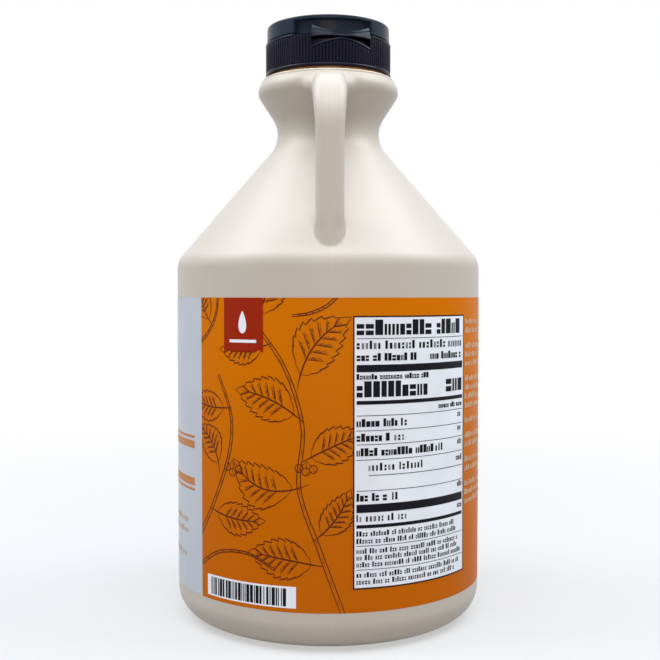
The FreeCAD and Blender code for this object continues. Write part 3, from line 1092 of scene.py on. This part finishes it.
def surface(name, colour, second, cloud_scale, grain_scale, relief, specular, roughness=SATIN):
    """Material with the shared grain group on a Principled shader. Returns it and its nodes."""
    material = bpy.data.materials.new(name)
    material.use_nodes = True
    tree = material.node_tree
    shader = tree.nodes["Principled BSDF"]
    shader.inputs["Specular IOR Level"].default_value = specular
    group = add_node(tree, "ShaderNodeGroup", (-350, 100),
                     {"Colour": (*colour, 1), "Second Colour": (*second, 1),
                      "Cloud Scale": cloud_scale, "Grain Scale": grain_scale,
                      "Roughness Low": roughness[0], "Roughness High": roughness[1],
                      "Relief": relief}, node_tree=GRAIN)
    tree.links.new(group.outputs["Color"], shader.inputs["Base Color"])
    tree.links.new(group.outputs["Roughness"], shader.inputs["Roughness"])
    tree.links.new(group.outputs["Normal"], shader.inputs["Normal"])
    return material, tree, shader, group


def height_mask(tree, low, high, place, most=1.0):
    """Mask that goes from 0 to the most between two heights in millimetres."""
    where = add_node(tree, "ShaderNodeTexCoord", (place[0] - 500, place[1]))
    split = add_node(tree, "ShaderNodeSeparateXYZ", (place[0] - 300, place[1]))
    mask = add_node(tree, "ShaderNodeMapRange", place,
                    {"From Min": low * MM, "From Max": high * MM, "To Max": most},
                    interpolation_type="SMOOTHSTEP")
    tree.links.new(where.outputs["Object"], split.inputs["Vector"])
    tree.links.new(split.outputs["Z"], mask.inputs["Value"])
    return mask.outputs["Result"]


def tinted(tree, colour, mask, tint, place):
    """Colour with a tint mixed over it where a mask says."""
    mix = add_node(tree, "ShaderNodeMix", place, data_type="RGBA")
    mix.inputs["B"].default_value = (*tint, 1)
    tree.links.new(mask, mix.inputs["Factor"])
    tree.links.new(colour, mix.inputs["A"])
    return mix.outputs["Result"]


def cream_plastic():
    """Natural cream polyethylene: satin, a little translucent, with a painted highlight along the
    collar's top edge, and amber where the neck is bare."""
    material, tree, shader, group = surface("cream_plastic", (0.551, 0.500, 0.437),
                                            (0.533, 0.480, 0.415), 22.0, 1100.0, 0.12, 0.42)
    shader.inputs["Subsurface Weight"].default_value = 0.12
    shader.inputs["Subsurface Radius"].default_value = (1.0, 0.75, 0.5)
    shader.inputs["Subsurface Scale"].default_value = 3.0 * MM
    # Painted highlight: the collar's top rim is tinted pale peach where the overhead light catches its
    # edge.
    rim_highlight_mask = height_mask(tree, COLLAR_TOP - 0.35, COLLAR_TOP - 0.2, (-550, 600))
    on_neck = height_mask(tree, COLLAR_TOP + 0.02, COLLAR_TOP + 0.1, (-350, 300))
    colour = tinted(tree, group.outputs["Color"], rim_highlight_mask, (0.95, 0.80, 0.62), (-250, 500))
    colour = tinted(tree, colour, on_neck, (0.50, 0.26, 0.10), (-120, 300))
    tree.links.new(colour, shader.inputs["Base Color"])
    return material


def orange_film():
    """Printed orange film, with painted shade that darkens it a little towards the foot of the label.
    """
    material, tree, shader, group = surface("orange_film", (0.675, 0.177, 0.0003),
                                            (0.655, 0.167, 0.0003), 14.0, 1500.0, 0.06, 0.05)
    # Painted shade: the orange darkens towards the label's foot, as the light falls off downward.
    painted_shade_towards_foot = height_mask(tree, LABEL_TOP, LABEL_BOTTOM, (-350, 400), 0.6)
    colour = tinted(tree, group.outputs["Color"], painted_shade_towards_foot, (0.48, 0.103, 0.0003), (-120, 300))
    tree.links.new(colour, shader.inputs["Base Color"])
    return material


def print_ink(name, colour, specular=0.12):
    """Flat printing ink on the film, a little uneven in tone."""
    second = tuple(channel * 0.93 for channel in colour)
    return surface(name, colour, second, 60.0, 1500.0, 0.06, specular)[0]


def black_plastic():
    """Black polypropylene of the cap, with fine moulded texture, and a painted highlight that makes
    the smooth sides of the lid paler than the ribs and the lid's top."""
    material, tree, shader, group = surface("black_plastic", (0.0015, 0.0015, 0.011),
                                            (0.003, 0.003, 0.014), 60.0, 1400.0, 0.10, 0.115,
                                            (0.20, 0.28))
    # Painted highlight: the lid's smooth sides, up to the crown's rounded edge, are tinted paler as if
    # lit.
    lid_highlight_mask = height_mask(tree, CAP_BOTTOM + DECK - 0.4, CAP_BOTTOM + DECK + 0.6, (-350, 400))
    # The painted highlight stops at the lid's top face, which goes back to near black.
    on_top = height_mask(tree, CAP_TOP - 0.45, CAP_TOP - 0.27, (-550, 650))
    colour = tinted(tree, group.outputs["Color"], lid_highlight_mask, (0.017, 0.024, 0.041), (-120, 300))
    colour = tinted(tree, colour, on_top, (0.004, 0.004, 0.006), (60, 350))
    tree.links.new(colour, shader.inputs["Base Color"])
    return material


# ---------------------------------------------------------------- stage


SKY_GLOW = 0.056
FLOOR_BOUNCE = 0.39
FLOOR_SEEN = 0.576


def seen_mask(tree, place):
    """1 where the camera sees a thing, straight, in gloss or through glass, and 0 for other light."""
    path = add_node(tree, "ShaderNodeLightPath", place)
    seen = path.outputs["Is Camera Ray"]
    for step, ray in ((200, "Is Glossy Ray"), (400, "Is Transmission Ray")):
        either = add_node(tree, "ShaderNodeMath", (place[0] + step, place[1]), operation="MAXIMUM")
        tree.links.new(seen, either.inputs[0])
        tree.links.new(path.outputs[ray], either.inputs[1])
        seen = either.outputs["Value"]
    return seen


def pale_floor():
    """Floor that reads as white, keeps the jug's shadow near it and fades into the sky."""
    material = bpy.data.materials.new("pale_floor")
    material.use_nodes = True
    tree = material.node_tree
    tree.nodes.clear()
    leave = add_node(tree, "ShaderNodeOutputMaterial", (600, 0))
    seen = seen_mask(tree, (-900, 300))
    tone = add_node(tree, "ShaderNodeMix", (-300, 100), data_type="RGBA")
    tone.inputs["A"].default_value = (FLOOR_BOUNCE, FLOOR_BOUNCE, FLOOR_BOUNCE, 1)
    tone.inputs["B"].default_value = (FLOOR_SEEN, FLOOR_SEEN, FLOOR_SEEN, 1)
    paint = add_node(tree, "ShaderNodeBsdfDiffuse", (-50, 100))
    glow = add_node(tree, "ShaderNodeEmission", (-50, -50))
    place = add_node(tree, "ShaderNodeTexCoord", (-1100, -200))
    reach = add_node(tree, "ShaderNodeVectorMath", (-900, -200), operation="LENGTH")
    fade = add_node(tree, "ShaderNodeMapRange", (-700, -200),
                    {"From Min": 0.06, "From Max": 0.5, "To Min": 0.5, "To Max": 1.0},
                    interpolation_type="SMOOTHSTEP")
    share = add_node(tree, "ShaderNodeMath", (-300, -200), operation="MULTIPLY")
    mix = add_node(tree, "ShaderNodeMixShader", (300, 0))
    join = tree.links.new
    join(seen, tone.inputs["Factor"])
    join(tone.outputs["Result"], paint.inputs["Color"])
    join(place.outputs["Object"], reach.inputs[0])
    join(reach.outputs["Value"], fade.inputs["Value"])
    join(seen, share.inputs[0])
    join(fade.outputs["Result"], share.inputs[1])
    join(share.outputs["Value"], mix.inputs["Fac"])
    join(paint.outputs["BSDF"], mix.inputs[1])
    join(glow.outputs["Emission"], mix.inputs[2])
    join(mix.outputs["Shader"], leave.inputs["Surface"])
    return material


def build_floor(material, size=6.0):
    """Flat square under the jug, in metres."""
    mesh = bpy.data.meshes.new("floor")
    mesh.from_pydata([(-size, -size, 0), (size, -size, 0), (size, size, 0), (-size, size, 0)], [],
                     [(0, 1, 2, 3)])
    floor = link("floor", mesh)
    mesh.materials.append(material)


def build_world():
    """Faint even sky that is plain white where it is seen or reflected."""
    world = bpy.data.worlds.new("studio")
    bpy.context.scene.world = world
    world.use_nodes = True
    tree = world.node_tree
    tree.nodes.clear()
    leave = add_node(tree, "ShaderNodeOutputWorld", (600, 0))
    sky = add_node(tree, "ShaderNodeBackground", (0, -100),
                   {"Color": (1, 1, 1, 1), "Strength": SKY_GLOW})
    white = add_node(tree, "ShaderNodeBackground", (0, 100), {"Color": (1, 1, 1, 1)})
    mix = add_node(tree, "ShaderNodeMixShader", (300, 0))
    tree.links.new(seen_mask(tree, (-400, 300)), mix.inputs["Fac"])
    tree.links.new(sky.outputs["Background"], mix.inputs[1])
    tree.links.new(white.outputs["Background"], mix.inputs[2])
    tree.links.new(mix.outputs["Shader"], leave.inputs["Surface"])


def softbox(name, place, target, width, height, power, colour=(1, 1, 1)):
    """Rectangular lamp that faces a target."""
    lamp = bpy.data.lights.new(name, "AREA")
    lamp.shape = "RECTANGLE"
    lamp.size = width
    lamp.size_y = height
    lamp.energy = power
    lamp.color = colour
    obj = bpy.data.objects.new(name, lamp)
    obj.location = place
    obj.rotation_euler = (Vector(target) - Vector(place)).to_track_quat("-Z", "Y").to_euler()
    bpy.context.scene.collection.objects.link(obj)


CAMERA_DISTANCE = 341.9
CAMERA_HEIGHT = 103.55
CAMERA_AZIMUTH = 0.7
CAMERA_PAN = 0.1
CAMERA_TILT = 1.966
LENS = 56.22


def build_camera():
    """Camera at eye level with the label's top edge, close to the handle's side."""
    data = bpy.data.cameras.new("camera")
    data.lens = LENS
    data.sensor_width = 36
    data.clip_start = 0.01
    camera = bpy.data.objects.new("camera", data)
    turn = math.radians(CAMERA_AZIMUTH)
    camera.location = Vector((-CAMERA_DISTANCE * math.sin(turn), -CAMERA_DISTANCE * math.cos(turn),
                              CAMERA_HEIGHT)) * MM
    camera.rotation_euler = (math.radians(90 - CAMERA_TILT), 0,
                             -math.radians(CAMERA_AZIMUTH + CAMERA_PAN))
    bpy.context.scene.collection.objects.link(camera)
    bpy.context.scene.camera = camera


def build_stage():
    """Floor, sky, lamps and camera."""
    build_floor(pale_floor())
    build_world()
    middle = (0, 0, 0.12)
    softbox("overhead", (0, 0, 1.1), middle, 1.6, 1.6, 13.3, (0.77, 0.87, 1.0))
    softbox("overhead_front", (0, -0.45, 0.85), middle, 0.7, 0.4, 3.5, (0.93, 0.97, 1.0))
    softbox("high_left", (-0.6, 0, 0.75), middle, 0.5, 0.5, 4.5, (0.92, 0.96, 1.0))
    softbox("high_right", (0.6, 0, 0.75), middle, 0.5, 0.5, 4.8, (0.92, 0.96, 1.0))
    softbox("front", (0, -1.2, 0.35), middle, 0.6, 0.6, 2.35, (1.0, 0.82, 0.64))
    softbox("front_low", (0, -1.0, 0.09), middle, 0.6, 0.15, 0.65, (1.0, 0.82, 0.64))
    build_camera()
    bpy.context.scene.view_settings.view_transform = "Standard"


def build_label():
    """Film, line drawing, plain fields and word-like rows of the label."""
    white = print_ink("white_print", (0.875, 0.90, 0.97), 0.5)
    build_sheet(orange_film())
    build_foliage(print_ink("brown_line_print", (0.125, 0.022, 0.001)),
                  print_ink("brown_hatch_print", (0.155, 0.031, 0.001)))
    # The front panel is white print darkened to grey: painted shade, as that side of the jug gets less
    # light.
    build_fields(print_ink("white_print_painted_shade", (0.535, 0.565, 0.625), 0.4), white)
    build_tag(print_ink("red_print", (0.325, 0.018, 0.001)), white)
    build_pale_rows(print_ink("pale_print", (0.70, 0.46, 0.28)))
    build_facts_ink(print_ink("black_print", (0.007, 0.007, 0.012), 0.08))
    build_front_marks(print_ink("ochre_print", (0.53, 0.20, 0.05)),
                      print_ink("soft_print", (0.56, 0.375, 0.275)))


build_jug(cream_plastic())
build_cap(black_plastic())
build_label()
build_stage()
